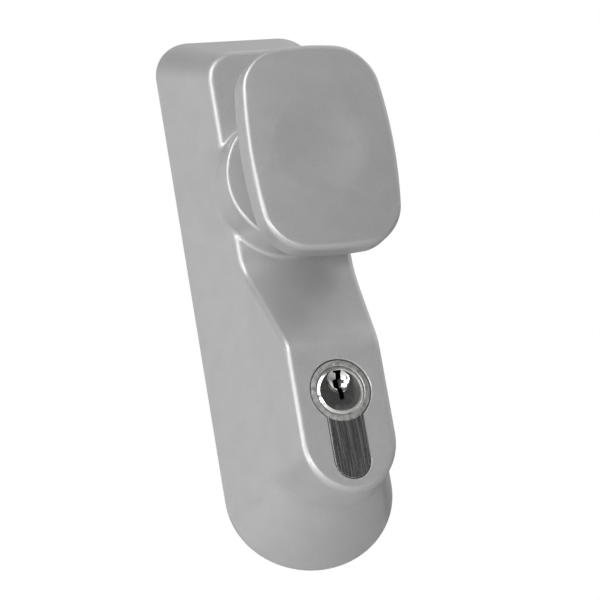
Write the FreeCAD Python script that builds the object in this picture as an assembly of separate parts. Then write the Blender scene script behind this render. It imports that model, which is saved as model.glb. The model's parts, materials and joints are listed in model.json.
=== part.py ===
"""Knob-operated outside access device with a half Euro cylinder, for the outer face of a door.

Frame: X to the right, Y into the door, Z up. The origin is on the knob's spindle axis, in the
plane of the door's face, so everything in front of the door has a negative Y. "Depth" below is
the distance in front of that plane. All lengths are in millimetres.
"""
import FreeCAD
import Part
import os
from math import cos, pi, radians, sin, sqrt, tan

# ---- cover: plan outlines at three depths, (half width, top, corner radius, end of sides, drop)
RIM_DEPTH = 1.0
CREASE_DEPTH = 23.8
OUTLINE_END = 43.0
BASE_OUTLINE = (25.0, 53.7, 11.0, -84.2, 22.0)
CREASE_OUTLINE = (16.4, 41.7, 8.5, -78.0, 16.3)
FRONT_OUTLINE = (13.4, 38.7, 5.0, -77.0, 15.1)
WALL = 2.5
PLAN_WALL = 2.6
RIM_WALL = 1.6

# ---- cover: front face, which steps up from the ridge to the nose along one ramp
RIDGE_DEPTH = 23.7
NOSE_DEPTH = 41.5
RAMP_FOOT_Z = -23.2
RAMP_ANGLE = 33.3
RAMP_TOP_Z = RAMP_FOOT_Z - (NOSE_DEPTH - RIDGE_DEPTH) / tan(radians(RAMP_ANGLE))
RAMP_ROUND = 12.0

# ---- cover: round boss that carries the knob, and what is cast inside it
BOSS_RADIUS = 20.0
BOSS_DEPTH = 34.35
BOSS_HOLLOW_RADIUS = 17.0
BOSS_FLOOR = 31.8
BOSS_START = 15.0
BUSH_TUBE_RADIUS = 10.5
BUSH_TUBE_START = 24.0
STOP_ANGLE = 72.0
STOP_WIDTH = 4.0

# ---- knob
KNOB_BACK = 51.2
KNOB_FACE = 61.45
KNOB_CROWN = 230.0
KNOB_HALF_WIDTH = 21.3
KNOB_HALF_HEIGHT = 29.1
KNOB_SIDE_ROUND = 143.0
KNOB_END_ROUND = 93.5
KNOB_CORNER = 9.0
KNOB_FRONT_EDGE = 2.0
KNOB_BACK_EDGE = 3.0
NECK_RADIUS = 11.0
NECK_START = 35.4
NECK_FLARE = 6.0
GRUB_DEPTH = 42.0
GRUB_RADIUS = 2.5
GRUB_LENGTH = 5.0
GRUB_SEAT = 0.4
DISH_BALL = 125.0
DISH_DROP = 1.1

# ---- knob shaft and clutch, from front to back
SHAFT_RADIUS = 6.0
SHAFT_FRONT = 52.0
SHAFT_SHOULDER = 17.5
SHAFT_SQUARE = 8.0
SHAFT_BACK = 14.4
BUSH_RADIUS = 8.5
BUSH_FLANGE_RADIUS = 11.4
BUSH_FLANGE = 0.8
RUNNING_GAP = 0.04
WASHER_BACK = 23.2
CLIP_BACK = 22.2
CLIP_GROOVE_RADIUS = 5.4
DRIVER_RADIUS = 12.5
DRIVER_BACK = 14.4
DRIVER_FRONT = 17.4
TOOTH_OUTER = 12.0
TOOTH_INNER = 8.8
DRIVER_TOOTH_TIP = 12.0
DRIVER_LUG_REACH = 15.5
DRIVER_SCREW_RADIUS = 2.0
DRIVER_WASHER = 0.8
DRIVER_SCREW_HEAD = 1.5
COLLAR_BACK = 4.0
COLLAR_FLANGE_RADIUS = 13.5
COLLAR_FLANGE_FRONT = 5.5
COLLAR_FRONT = 9.0
COLLAR_TOOTH_TIP = 11.4
TEETH = 4
COLLAR_TOOTH_ANGLE = 30.0
DRIVER_TOOTH_ANGLE = 50.0
HUB_SQUARE = 11.0
HUB_CORNER_RADIUS = 7.4
HUB_FRONT = 11.4
JOURNAL_RADIUS = 7.0
SPINDLE_SQUARE = 8.0
SPINDLE_FRONT = 10.0
SPINDLE_REACH = 58.0

# ---- back plate and what is fixed to it
PLATE = 2.0
PLATE_GAP = 0.15
PLATE_BUSH_RADIUS = 8.6
SCREW_PLACES = [(-16.0, 43.0), (16.0, 43.0), (-17.0, -86.0), (17.0, -86.0)]
SCREW_RADIUS = 1.9
SCREW_TIP = 10.0
SCREW_COLUMN_RADIUS = 3.5
SCREW_COLUMN_TOP = 13.0
POST_PLACES = [(0.0, 31.0), (0.0, -95.0)]
POST_RADIUS = 4.0
POST_SHANK_RADIUS = 3.2
POST_TOP = 8.0
POST_THREAD_RADIUS = 2.5

# ---- lock slide: steel strip that the cylinder's cam lifts, with ramps that push the collar
SLIDE_LIFT = 12.1
CLUTCH_SHIFT = 2.8
SLIDE_BACK = 2.15
SLIDE_FRONT = 3.65
SLIDE_HALF_WIDTH = 12.0
PRONG_INSIDE = 8.2
PRONG_TOP_Z = 2.0
YOKE_Z = -20.2
RAMP_START_Z = -11.0
STUD_PLACES = [(0.0, -27.0), (13.4, -45.0)]
STUD_RADIUS = 2.0
LEG_INSIDE = 9.6
LEG_OUTSIDE = 17.2
TAB_THICK = 2.0
TAB_FRONT = 12.5
TAB_HALF_GAP = 5.45

# ---- half Euro cylinder: 17 mm circle, 33 mm high, 10 mm wide leg, 30 mm + 10 mm long
LOCK_Z = -64.05
EURO_RADIUS = 8.5
EURO_HEIGHT = 33.0
LEG_HALF_WIDTH = 5.0
EURO_GAP = 0.3
CYLINDER_FACE = 41.2
CYLINDER_LONG = 30.0
CYLINDER_SHORT = 10.0
SCREW_DEPTH = CYLINDER_FACE - CYLINDER_LONG
CYLINDER_BACK = SCREW_DEPTH - CYLINDER_SHORT
FIXING_HOLE_Z = LOCK_Z - 20.0
FIXING_SCREW_RADIUS = 2.1
BRACKET_INSIDE = 5.15
BRACKET_OUTSIDE = 7.15
BRACKET_FOOT = 12.0
CAM_GAP = 5.1
CAM_SWEEP = 15.8
CAM_RADIUS = 15.3
CAM_HALF_WIDTH = 4.0
CAM_RING_RADIUS = 8.4
CAM_REST_ANGLE = 30.0
PLUG_RADIUS = 6.5
PLUG_RIM_RADIUS = 6.9
PLUG_RIM_LENGTH = 1.6
PLUG_RIM_CHAMFER = 0.8
PLUG_FACE_RADIUS = 5.85
TAIL_RADIUS = 5.0
TAIL_END_RADIUS = 4.0
PLUG_CLIP_RADIUS = 3.3
PLUG_CLIP_DEPTHS = (CYLINDER_BACK + 0.3, CYLINDER_BACK + 1.1)
PIN_RADIUS = 1.4
PIN_GAP = 0.05
PIN_COUNT = 5
PIN_PITCH = 4.0
FIRST_PIN_DEPTH = CYLINDER_FACE - 6.0
KEYWAY_BOTTOM = -2.6
KEYWAY_RUNS = [(-1.2, 1.1, 5.2, 5.75), (-0.35, 1.0, 3.4, 5.2), (-1.45, 0.15, 0.9, 3.4),
               (-0.65, 0.7, KEYWAY_BOTTOM, 0.9)]
ENTRY_BALL_RADIUS = 4.6
ENTRY_BALL_AHEAD = 3.2
ENTRY_BALL_X = -0.2
ENTRY_BALL_Z = 2.7

FORWARD = FreeCAD.Vector(0, -1, 0)
SIDEWAYS = FreeCAD.Vector(1, 0, 0)
UPWARD = FreeCAD.Vector(0, 0, 1)


# ---- small helpers: everything is placed by x, depth and z

def at(x, depth, z):
    return FreeCAD.Vector(x, -depth, z)


def disc(radius, back, front, x=0.0, z=0.0):
    """Cylinder that stands on depth `back` and ends at depth `front`."""
    return Part.makeCylinder(radius, front - back, at(x, back, z), FORWARD)


def cone(back_radius, front_radius, back, front, x=0.0, z=0.0):
    return Part.makeCone(back_radius, front_radius, front - back, at(x, back, z), FORWARD)


def ring(outer, inner, back, front, x=0.0, z=0.0):
    return disc(outer, back, front, x, z).cut(disc(inner, back, front, x, z))


def block(x_low, x_high, back, front, z_low, z_high):
    size = (x_high - x_low, front - back, z_high - z_low)
    return Part.makeBox(*size, FreeCAD.Vector(x_low, -front, z_low))


def square_bar(side, back, front, corner_radius=None):
    """Square bar on the spindle axis, its corners turned down to corner_radius if given."""
    half = side / 2
    bar = block(-half, half, back, front, -half, half)
    return bar.common(disc(corner_radius, back, front)) if corner_radius else bar


def turned(shape, degrees, z=0.0):
    """A copy turned about the depth axis through (0, z), anticlockwise as seen from the front."""
    copy = shape.copy()
    copy.rotate(at(0, 0, z), FORWARD, degrees)
    return copy


def fused(first, *others):
    return first.multiFuse(list(others)).removeSplitter()


def rounded_corner(before, corner, after, radius):
    """Start, middle and end of the arc that rounds a corner between two straight lines."""
    to_before = (before - corner).normalize()
    to_after = (after - corner).normalize()
    half = to_before.getAngle(to_after) / 2
    reach = radius / tan(half)
    inwards = (to_before + to_after).normalize()
    middle = corner + inwards * (radius / sin(half) - radius)
    return corner + to_before * reach, middle, corner + to_after * reach


def sector(inner, outer, back, front, angle, middle_angle):
    """Piece of a ring, `angle` wide, centred on middle_angle from +X."""
    half = radians(angle / 2)
    far_x = 2 * outer * cos(half)
    far_z = 2 * outer * sin(half)
    corners = [at(0, back, 0), at(far_x, back, -far_z), at(far_x, back, far_z)]
    wedge = Part.Face(Part.makePolygon(corners + corners[:1])).extrude(at(0, front - back, 0))
    return turned(ring(outer, inner, back, front).common(wedge), middle_angle)


nodes = {}


def keep(name, *solids):
    """Name a node; several solids stay separate pieces in it."""
    nodes[name] = solids[0] if len(solids) == 1 else Part.makeCompound(list(solids))


# ---- cover

def outline(depth, half_width, top, corner, side_end, drop):
    """Flat top with round corners, straight sides and a half-elliptical bottom."""
    inner = half_width - corner
    bend = corner * sqrt(0.5)
    low = top - corner
    centre = at(0, depth, side_end)
    side = at(half_width, depth, side_end)
    foot = at(0, depth, side_end - drop)
    if drop > half_width:
        bottom = Part.Arc(Part.Ellipse(foot, side, centre), -pi / 2, pi / 2)
    else:
        bottom = Part.Arc(Part.Ellipse(side, foot, centre), 0, pi)
    edges = [
        Part.LineSegment(at(-inner, depth, top), at(inner, depth, top)),
        Part.Arc(at(inner, depth, top), at(inner + bend, depth, low + bend),
                 at(half_width, depth, low)),
        Part.LineSegment(at(half_width, depth, low), at(half_width, depth, side_end)),
        bottom,
        Part.LineSegment(at(-half_width, depth, side_end), at(-half_width, depth, low)),
        Part.Arc(at(-half_width, depth, low), at(-inner - bend, depth, low + bend),
                 at(-inner, depth, top)),
    ]
    return Part.Wire([edge.toShape() for edge in edges])


def inset(plan, by):
    """The same outline, drawn in by one wall all round."""
    half_width, top, corner, side_end, drop = plan
    return half_width - by, top - by, max(corner - by, 1.0), side_end, drop - by


def slab(plan, back, front):
    face = Part.Face(outline(back, *plan))
    return face.extrude(at(0, front - back, 0))


def in_front_of(recess):
    """Everything in front of the cover's front face, or of its inside when recess is the wall."""
    shift = recess * tan(radians(RAMP_ANGLE / 2))
    ridge = RIDGE_DEPTH - recess
    nose = NOSE_DEPTH - recess
    far, high, low, clear, wide = 70.0, 70.0, -120.0, 40.0, 80.0
    foot = at(-clear, ridge, RAMP_FOOT_Z - shift)
    top = at(-clear, nose, RAMP_TOP_Z - shift)
    start = at(-clear, ridge, high)
    end = at(-clear, nose, low)
    foot_arc = rounded_corner(start, foot, top, RAMP_ROUND + recess)
    top_arc = rounded_corner(foot, top, end, RAMP_ROUND - recess)
    corner_low = at(-clear, far, low)
    corner_high = at(-clear, far, high)
    wire = Part.Wire([
        Part.LineSegment(start, foot_arc[0]).toShape(),
        Part.Arc(*foot_arc).toShape(),
        Part.LineSegment(foot_arc[2], top_arc[0]).toShape(),
        Part.Arc(*top_arc).toShape(),
        Part.LineSegment(top_arc[2], end).toShape(),
        Part.LineSegment(end, corner_low).toShape(),
        Part.LineSegment(corner_low, corner_high).toShape(),
        Part.LineSegment(corner_high, start).toShape(),
    ])
    return Part.Face(wire).extrude(SIDEWAYS * wide)


def cover_form(recess, plan_inset, base_depth, crease_depth):
    """Lofted form of the cover, outside or inside, cut off along its front face."""
    wires = [
        outline(base_depth, *inset(BASE_OUTLINE, plan_inset)),
        outline(crease_depth, *inset(CREASE_OUTLINE, plan_inset)),
        outline(OUTLINE_END, *inset(FRONT_OUTLINE, plan_inset)),
    ]
    return Part.makeLoft(wires, True, True).cut(in_front_of(recess))


def euro_profile(back, front, gap=0.0):
    """The cylinder's section, a circle over a round-ended leg, `gap` larger all round."""
    leg_end = LOCK_Z + EURO_RADIUS - EURO_HEIGHT + LEG_HALF_WIDTH
    half = LEG_HALF_WIDTH + gap
    return fused(disc(EURO_RADIUS + gap, back, front, z=LOCK_Z),
                 block(-half, half, back, front, leg_end, LOCK_Z),
                 disc(half, back, front, z=leg_end))


def stop_rib(angle):
    """Rib inside the boss that ends the driver's turn."""
    rib = block(-STOP_WIDTH / 2, STOP_WIDTH / 2, DRIVER_BACK - 0.2, BOSS_FLOOR + 0.5,
                DRIVER_RADIUS + 0.3, BOSS_HOLLOW_RADIUS + 1.5)
    return turned(rib, angle)


def make_cover():
    outside = slab(BASE_OUTLINE, 0.0, RIM_DEPTH)
    outside = outside.fuse(cover_form(0.0, 0.0, RIM_DEPTH, CREASE_DEPTH))
    boss = disc(BOSS_RADIUS, BOSS_START, BOSS_DEPTH)
    boss_edge = [e for e in boss.Edges if abs(e.CenterOfMass.y + BOSS_DEPTH) < 0.01]
    boss = boss.makeFillet(1.2, boss_edge)
    outside = fused(outside, boss)

    hollow = cover_form(WALL, PLAN_WALL, PLATE, CREASE_DEPTH - 1.3)
    hollow = hollow.fuse(disc(BOSS_HOLLOW_RADIUS, BOSS_START + 5.0, BOSS_FLOOR))
    pocket = slab(inset(BASE_OUTLINE, RIM_WALL), 0.0, PLATE)
    columns = [disc(SCREW_COLUMN_RADIUS, PLATE, SCREW_COLUMN_TOP, x, z) for x, z in SCREW_PLACES]
    inside = [disc(BUSH_TUBE_RADIUS, BUSH_TUBE_START, BOSS_FLOOR),
              stop_rib(STOP_ANGLE), stop_rib(-STOP_ANGLE)]
    hollow = hollow.cut(Part.makeCompound(columns + inside)).fuse(pocket)

    cover = outside.cut(hollow)
    holes = [disc(SCREW_RADIUS, PLATE, SCREW_TIP + 1.0, x, z) for x, z in SCREW_PLACES]
    holes.append(disc(BUSH_RADIUS, BUSH_TUBE_START, BOSS_DEPTH))
    holes.append(euro_profile(NOSE_DEPTH - 2 * WALL, NOSE_DEPTH + 1.0, EURO_GAP))
    return cover.cut(Part.makeCompound(holes)).removeSplitter()


# ---- back plate, its fasteners and the fixing posts

def countersink(x, z):
    return cone(2 * SCREW_RADIUS, SCREW_RADIUS, 0.0, SCREW_RADIUS, x, z)


def make_back_plate():
    plate = slab(inset(BASE_OUTLINE, RIM_WALL + PLATE_GAP), 0.0, PLATE)
    holes = [disc(PLATE_BUSH_RADIUS, 0.0, PLATE), euro_profile(0.0, PLATE, 0.6)]
    holes += [disc(SCREW_RADIUS, 0.0, PLATE, x, z) for x, z in SCREW_PLACES]
    holes += [countersink(x, z) for x, z in SCREW_PLACES]
    holes += [disc(POST_SHANK_RADIUS, 0.0, PLATE, x, z) for x, z in POST_PLACES]
    holes += [disc(STUD_RADIUS * 0.8, 0.0, PLATE, x, z) for x, z in STUD_PLACES]
    return plate.cut(Part.makeCompound(holes))


def make_screw(x, z):
    slot = block(x - 0.5, x + 0.5, 0.0, 0.8, z - 2.6, z + 2.6)
    slot = slot.fuse(block(x - 2.6, x + 2.6, 0.0, 0.8, z - 0.5, z + 0.5))
    return fused(countersink(x, z), disc(SCREW_RADIUS, 0.0, SCREW_TIP, x, z)).cut(slot)


def make_post(x, z):
    post = fused(disc(POST_SHANK_RADIUS, 0.0, PLATE, x, z), disc(POST_RADIUS, PLATE, POST_TOP, x, z))
    return post.cut(disc(POST_THREAD_RADIUS, 0.0, POST_TOP, x, z))


def make_stud(x, z):
    return fused(disc(STUD_RADIUS * 0.8, 0.0, PLATE, x, z),
                 disc(STUD_RADIUS, PLATE, SLIDE_FRONT + 0.25, x, z),
                 disc(STUD_RADIUS * 1.9, SLIDE_FRONT + 0.25, SLIDE_FRONT + 1.3, x, z))


# ---- knob, its shaft and its bearing

def make_knob():
    """Cushion-shaped head with bowed sides, a crowned face and a shallow finger dish, on a neck."""
    side = KNOB_SIDE_ROUND - KNOB_HALF_WIDTH
    end = KNOB_END_ROUND - KNOB_HALF_HEIGHT
    head = block(-30, 30, KNOB_BACK, KNOB_FACE, -40, 40)
    for sign in (-1, 1):
        head = head.common(disc(KNOB_SIDE_ROUND, KNOB_BACK, KNOB_FACE, x=sign * side))
        head = head.common(disc(KNOB_END_ROUND, KNOB_BACK, KNOB_FACE, z=sign * end))
    corners = [e for e in head.Edges if e.BoundBox.YLength > 1.0]
    head = head.makeFillet(KNOB_CORNER, corners)
    head = head.common(Part.makeSphere(KNOB_CROWN, at(0, KNOB_FACE - KNOB_CROWN, 0)))
    front = [e for e in head.Edges if e.BoundBox.YMax < -KNOB_BACK - KNOB_BACK_EDGE]
    head = head.makeFillet(KNOB_FRONT_EDGE, front)
    back = [e for e in head.Edges if e.BoundBox.YMin > -0.5 - KNOB_BACK]
    head = head.makeFillet(KNOB_BACK_EDGE, back)

    flare_start = KNOB_BACK - NECK_FLARE
    flare_radius = NECK_RADIUS + NECK_FLARE
    flare_ring = Part.makeTorus(flare_radius, NECK_FLARE, at(0, flare_start, 0), FORWARD)
    neck = disc(flare_radius, flare_start, KNOB_BACK).cut(flare_ring)
    neck = neck.fuse(disc(NECK_RADIUS, NECK_START, KNOB_BACK + 1.0))
    dish = Part.makeSphere(DISH_BALL, at(0, KNOB_FACE + DISH_BALL - DISH_DROP, 0))
    grub = downward(GRUB_RADIUS, GRUB_DEPTH, 0.0, NECK_RADIUS + 1)
    bore = disc(SHAFT_RADIUS, NECK_START, SHAFT_FRONT)
    return fused(head, neck).cut(Part.makeCompound([dish, bore])).cut(grub)


def downward(radius, depth, start, reach):
    """Round piece that hangs below the knob's axis, from `start` under it."""
    return Part.makeCylinder(radius, reach, at(0, depth, -start), -UPWARD)


def make_grub_screw():
    start = SHAFT_RADIUS - GRUB_SEAT
    body = downward(GRUB_RADIUS, GRUB_DEPTH, start, GRUB_LENGTH)
    socket = downward(GRUB_RADIUS / 2, GRUB_DEPTH, start + GRUB_LENGTH / 2, GRUB_LENGTH)
    return body.cut(socket)


def make_shaft():
    shaft = fused(disc(SHAFT_RADIUS, SHAFT_SHOULDER, SHAFT_FRONT),
                  square_bar(SHAFT_SQUARE, SHAFT_BACK, SHAFT_SHOULDER))
    groove = ring(SHAFT_RADIUS + 1, CLIP_GROOVE_RADIUS, CLIP_BACK, WASHER_BACK)
    dimple = downward(GRUB_RADIUS, GRUB_DEPTH, SHAFT_RADIUS - GRUB_SEAT, GRUB_LENGTH)
    thread = disc(DRIVER_SCREW_RADIUS, SHAFT_BACK, SHAFT_BACK + 8.0)
    return shaft.cut(groove).cut(dimple).cut(thread)


def make_shaft_bush():
    bore = SHAFT_RADIUS + RUNNING_GAP
    return fused(ring(BUSH_RADIUS, bore, BUSH_TUBE_START, BOSS_DEPTH),
                 ring(BUSH_FLANGE_RADIUS, bore, BOSS_DEPTH, BOSS_DEPTH + BUSH_FLANGE))


def make_circlip(outer, inner, back, front, mouth, z=0.0):
    """Spring ring with an open mouth at its foot."""
    gap = block(-mouth / 2, mouth / 2, back, front, z - outer, z - inner / 2)
    return ring(outer, inner, back, front, z=z).cut(gap)


def make_driver():
    """Toothed disc on the knob's shaft, with a lug that meets the stop ribs."""
    body = disc(DRIVER_RADIUS, DRIVER_BACK, DRIVER_FRONT)
    lug = block(-2.5, 2.5, DRIVER_BACK, DRIVER_FRONT, TOOTH_INNER, DRIVER_LUG_REACH)
    teeth = [sector(TOOTH_INNER, TOOTH_OUTER, DRIVER_TOOTH_TIP, DRIVER_BACK + 0.5,
                    DRIVER_TOOTH_ANGLE, 45 + n * 360 / TEETH) for n in range(TEETH)]
    return fused(body, lug, *teeth).cut(square_bar(SHAFT_SQUARE, DRIVER_BACK, DRIVER_FRONT))


def make_driver_screw():
    seat = DRIVER_BACK - DRIVER_WASHER
    top = seat - DRIVER_SCREW_HEAD
    drive = block(-4.0, 4.0, top, top + 0.7, -0.45, 0.45)
    return fused(disc(3.6, top, seat), disc(DRIVER_SCREW_RADIUS, seat, DRIVER_BACK + 7.5)).cut(drive)


def upright_coil(radius, wire_radius, height, turns):
    """Helical spring from the origin up to a height, which its wire's centre line reaches."""
    helix = Part.makeHelix(height / turns, height, radius)
    profile = Part.Wire(Part.makeCircle(wire_radius, FreeCAD.Vector(radius, 0, 0),
                                        FreeCAD.Vector(0, 1, 0)))
    spring = Part.Wire(helix).makePipeShell([profile], True, True)
    return Part.Solid(spring) if spring.ShapeType == "Shell" else spring


def coil(radius, wire_radius, start, end, turns):
    """Helical spring round the knob's axis, its wire centres from depth start to end."""
    spring = upright_coil(radius, wire_radius, end - start, turns)
    spring.rotate(FreeCAD.Vector(), SIDEWAYS, 90)
    spring.translate(at(0, start, 0))
    return spring


# ---- clutch collar, follower and spindle

def make_collar():
    body = fused(disc(COLLAR_FLANGE_RADIUS, COLLAR_BACK, COLLAR_FLANGE_FRONT),
                 disc(TOOTH_OUTER, COLLAR_BACK, COLLAR_FRONT),
                 *[sector(TOOTH_INNER, TOOTH_OUTER, COLLAR_FRONT - 0.5, COLLAR_TOOTH_TIP,
                          COLLAR_TOOTH_ANGLE, n * 360 / TEETH) for n in range(TEETH)])
    return body.cut(square_bar(HUB_SQUARE + 2 * RUNNING_GAP, COLLAR_BACK, COLLAR_FRONT,
                               HUB_CORNER_RADIUS + RUNNING_GAP))


def make_follower():
    hub = fused(disc(JOURNAL_RADIUS, 0.1, PLATE + 0.05),
                square_bar(HUB_SQUARE, PLATE + 0.05, HUB_FRONT, HUB_CORNER_RADIUS))
    hub = hub.cut(square_bar(SPINDLE_SQUARE, 0.1, SPINDLE_FRONT))
    return hub.cut(cross_pin())


def cross_pin():
    """Pin through the follower and the spindle, flush inside the follower's flats."""
    return Part.makeCylinder(1.25, HUB_SQUARE - 0.2, at(0.1 - HUB_SQUARE / 2, 7.0, 0), SIDEWAYS)


def make_spindle():
    bar = square_bar(SPINDLE_SQUARE, -SPINDLE_REACH, SPINDLE_FRONT)
    ends = [e for e in bar.Edges if e.BoundBox.YMin > SPINDLE_REACH - 0.01]
    return bar.makeChamfer(1.0, ends).cut(cross_pin())


# ---- lock slide

def slot(x, z):
    """Guide slot that lets the slide rise past a stud that starts at its upper end."""
    wide = STUD_RADIUS + 0.1
    low = z - SLIDE_LIFT - 0.1
    return fused(disc(wide, SLIDE_BACK, SLIDE_FRONT, x, z), disc(wide, SLIDE_BACK, SLIDE_FRONT, x, low),
                 block(x - wide, x + wide, SLIDE_BACK, SLIDE_FRONT, low, z))


def clutch_ramp(x_low, x_high):
    """Wedge on a prong that rises towards the collar as the slide goes up."""
    points = [at(x_low, SLIDE_BACK, RAMP_START_Z), at(x_low, SLIDE_FRONT, RAMP_START_Z),
              at(x_low, SLIDE_FRONT + CLUTCH_SHIFT, RAMP_START_Z - SLIDE_LIFT),
              at(x_low, SLIDE_BACK, RAMP_START_Z - SLIDE_LIFT)]
    face = Part.Face(Part.makePolygon(points + points[:1]))
    return face.extrude(SIDEWAYS * (x_high - x_low))


def make_slide():
    foot_z = LOCK_Z - SLIDE_LIFT / 2 - TAB_HALF_GAP - TAB_THICK
    upper_tab_z = LOCK_Z - SLIDE_LIFT / 2 + TAB_HALF_GAP
    neck_z = LOCK_Z + EURO_RADIUS + 2.0
    parts = [
        block(-SLIDE_HALF_WIDTH, -PRONG_INSIDE, SLIDE_BACK, SLIDE_FRONT, YOKE_Z, PRONG_TOP_Z),
        block(PRONG_INSIDE, SLIDE_HALF_WIDTH, SLIDE_BACK, SLIDE_FRONT, YOKE_Z, PRONG_TOP_Z),
        block(-SLIDE_HALF_WIDTH, LEG_OUTSIDE, SLIDE_BACK, SLIDE_FRONT, neck_z, YOKE_Z),
        block(LEG_INSIDE, LEG_OUTSIDE, SLIDE_BACK, SLIDE_FRONT, foot_z, neck_z),
        block(LEG_INSIDE, LEG_OUTSIDE, SLIDE_BACK, TAB_FRONT, foot_z, foot_z + TAB_THICK),
        block(LEG_INSIDE, LEG_OUTSIDE, SLIDE_BACK, TAB_FRONT, upper_tab_z, upper_tab_z + TAB_THICK),
        clutch_ramp(-SLIDE_HALF_WIDTH, -PRONG_INSIDE),
        clutch_ramp(PRONG_INSIDE, SLIDE_HALF_WIDTH),
    ]
    slots = [slot(x, z) for x, z in STUD_PLACES]
    return fused(*parts).cut(Part.makeCompound(slots))


# ---- half Euro cylinder

def pin_depths():
    return [FIRST_PIN_DEPTH - n * PIN_PITCH for n in range(PIN_COUNT)]


def upright(radius, depth, low, high):
    """Round piece standing along Z in the pin row, between two heights from the plug's axis."""
    return Part.makeCylinder(radius, high - low, at(0, depth, LOCK_Z + low), UPWARD)


def crosswise(radius, x_low, x_high):
    """Round piece along X through the cylinder's fixing hole."""
    start = at(x_low, SCREW_DEPTH, FIXING_HOLE_Z)
    return Part.makeCylinder(radius, x_high - x_low, start, SIDEWAYS)


def leg_foot():
    return EURO_RADIUS - EURO_HEIGHT


def make_cylinder_body():
    body = euro_profile(CYLINDER_BACK, CYLINDER_FACE)
    cuts = [
        disc(CAM_SWEEP, SCREW_DEPTH - CAM_GAP, SCREW_DEPTH + CAM_GAP, z=LOCK_Z),
        disc(PLUG_RADIUS + RUNNING_GAP, SCREW_DEPTH, CYLINDER_FACE, z=LOCK_Z),
        disc(PLUG_RIM_RADIUS + 2 * RUNNING_GAP, CYLINDER_FACE - PLUG_RIM_LENGTH - RUNNING_GAP,
             CYLINDER_FACE, z=LOCK_Z),
        disc(TAIL_END_RADIUS + RUNNING_GAP, CYLINDER_BACK, SCREW_DEPTH, z=LOCK_Z),
        disc(PLUG_RADIUS, CYLINDER_BACK, CYLINDER_BACK + 1.4, z=LOCK_Z),
        crosswise(FIXING_SCREW_RADIUS, -6.0, 6.0),
    ]
    cuts += [upright(PIN_RADIUS + PIN_GAP, depth, leg_foot() - 1, -PLUG_RADIUS + 0.5)
             for depth in pin_depths()]
    return body.cut(Part.makeCompound(cuts))


def keyway(back, front):
    """Bent slot: offset runs, so that only its own key goes in."""
    pieces = [block(low, high, back, front, LOCK_Z + foot, LOCK_Z + top)
              for low, high, foot, top in KEYWAY_RUNS]
    return fused(*pieces)


def make_plug():
    cam_front = SCREW_DEPTH + CAM_GAP
    chamfer_back = CYLINDER_FACE - PLUG_RIM_CHAMFER
    plug = fused(disc(PLUG_RADIUS, cam_front, CYLINDER_FACE - PLUG_RIM_LENGTH, z=LOCK_Z),
                 disc(PLUG_RIM_RADIUS, CYLINDER_FACE - PLUG_RIM_LENGTH, chamfer_back, z=LOCK_Z),
                 cone(PLUG_RIM_RADIUS, PLUG_FACE_RADIUS, chamfer_back, CYLINDER_FACE, z=LOCK_Z),
                 disc(TAIL_RADIUS, SCREW_DEPTH - CAM_GAP + 0.1, cam_front, z=LOCK_Z),
                 disc(TAIL_END_RADIUS, CYLINDER_BACK, SCREW_DEPTH, z=LOCK_Z))
    entry_centre = at(ENTRY_BALL_X, CYLINDER_FACE + ENTRY_BALL_AHEAD, LOCK_Z + ENTRY_BALL_Z)
    entry = Part.makeSphere(ENTRY_BALL_RADIUS, entry_centre)
    clip = ring(TAIL_END_RADIUS + 1, PLUG_CLIP_RADIUS, *PLUG_CLIP_DEPTHS, z=LOCK_Z)
    holes = [upright(PIN_RADIUS + PIN_GAP, depth, -PLUG_RADIUS - 1, KEYWAY_BOTTOM + 0.6)
             for depth in pin_depths()]
    plug = plug.cut(Part.makeCompound([entry, clip] + holes))
    return plug.cut(keyway(cam_front + 0.8, CYLINDER_FACE + 1.0))


def make_cam():
    back = SCREW_DEPTH - CAM_GAP + 0.1
    front = SCREW_DEPTH + CAM_GAP - 0.1
    lug = block(0, CAM_RADIUS, back, front, LOCK_Z - CAM_HALF_WIDTH, LOCK_Z + CAM_HALF_WIDTH)
    cam = lug.common(disc(CAM_RADIUS, back, front, z=LOCK_Z))
    cam = fused(cam, disc(CAM_RING_RADIUS, back, front, z=LOCK_Z))
    cam = cam.cut(disc(TAIL_RADIUS, back, front, z=LOCK_Z))
    return turned(cam, -CAM_REST_ANGLE, LOCK_Z)


def make_key_pin(depth):
    """Pin in the plug, its pointed end in the keyway and its foot on the shear line."""
    shoulder = KEYWAY_BOTTOM - 0.5
    point = Part.makeCone(PIN_RADIUS, 0.5, 1.0, at(0, depth, LOCK_Z + shoulder), UPWARD)
    return upright(PIN_RADIUS, depth, -PLUG_RADIUS + 0.2, shoulder).fuse(point).removeSplitter()


def make_driver_pin(depth):
    return upright(PIN_RADIUS, depth, -12.0, -PLUG_RADIUS - 0.1)


def make_pin_spring(depth):
    start, end, turns, radius, wire_radius = 12.4, 21.6, 6, 1.05, 0.2
    spring = upright_coil(radius, wire_radius, end - start, turns)
    spring.translate(at(0, depth, LOCK_Z - end))
    return spring


def make_bracket(side):
    """Angle that stands on the back plate beside the cylinder's leg."""
    low, high = FIXING_HOLE_Z - 3.7, FIXING_HOLE_Z + 4.3
    ear = sorted([side * BRACKET_INSIDE, side * BRACKET_OUTSIDE])
    foot = sorted([side * BRACKET_INSIDE, side * BRACKET_FOOT])
    piece = fused(block(*ear, PLATE, 16.0, low, high), block(*foot, PLATE, PLATE + 2.0, low, high))
    return piece.cut(crosswise(FIXING_SCREW_RADIUS + 0.1, ear[0] - 0.5, ear[1] + 0.5))


def make_fixing_screw():
    head_start = -BRACKET_OUTSIDE - 2.8
    shank = crosswise(FIXING_SCREW_RADIUS, -BRACKET_OUTSIDE, BRACKET_OUTSIDE - 0.3)
    head = crosswise(2 * FIXING_SCREW_RADIUS, head_start, -BRACKET_OUTSIDE)
    drive = crosswise(1.5, head_start, head_start + 1.6)
    return shank.fuse(head).removeSplitter().cut(drive)


# ---- every node

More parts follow.
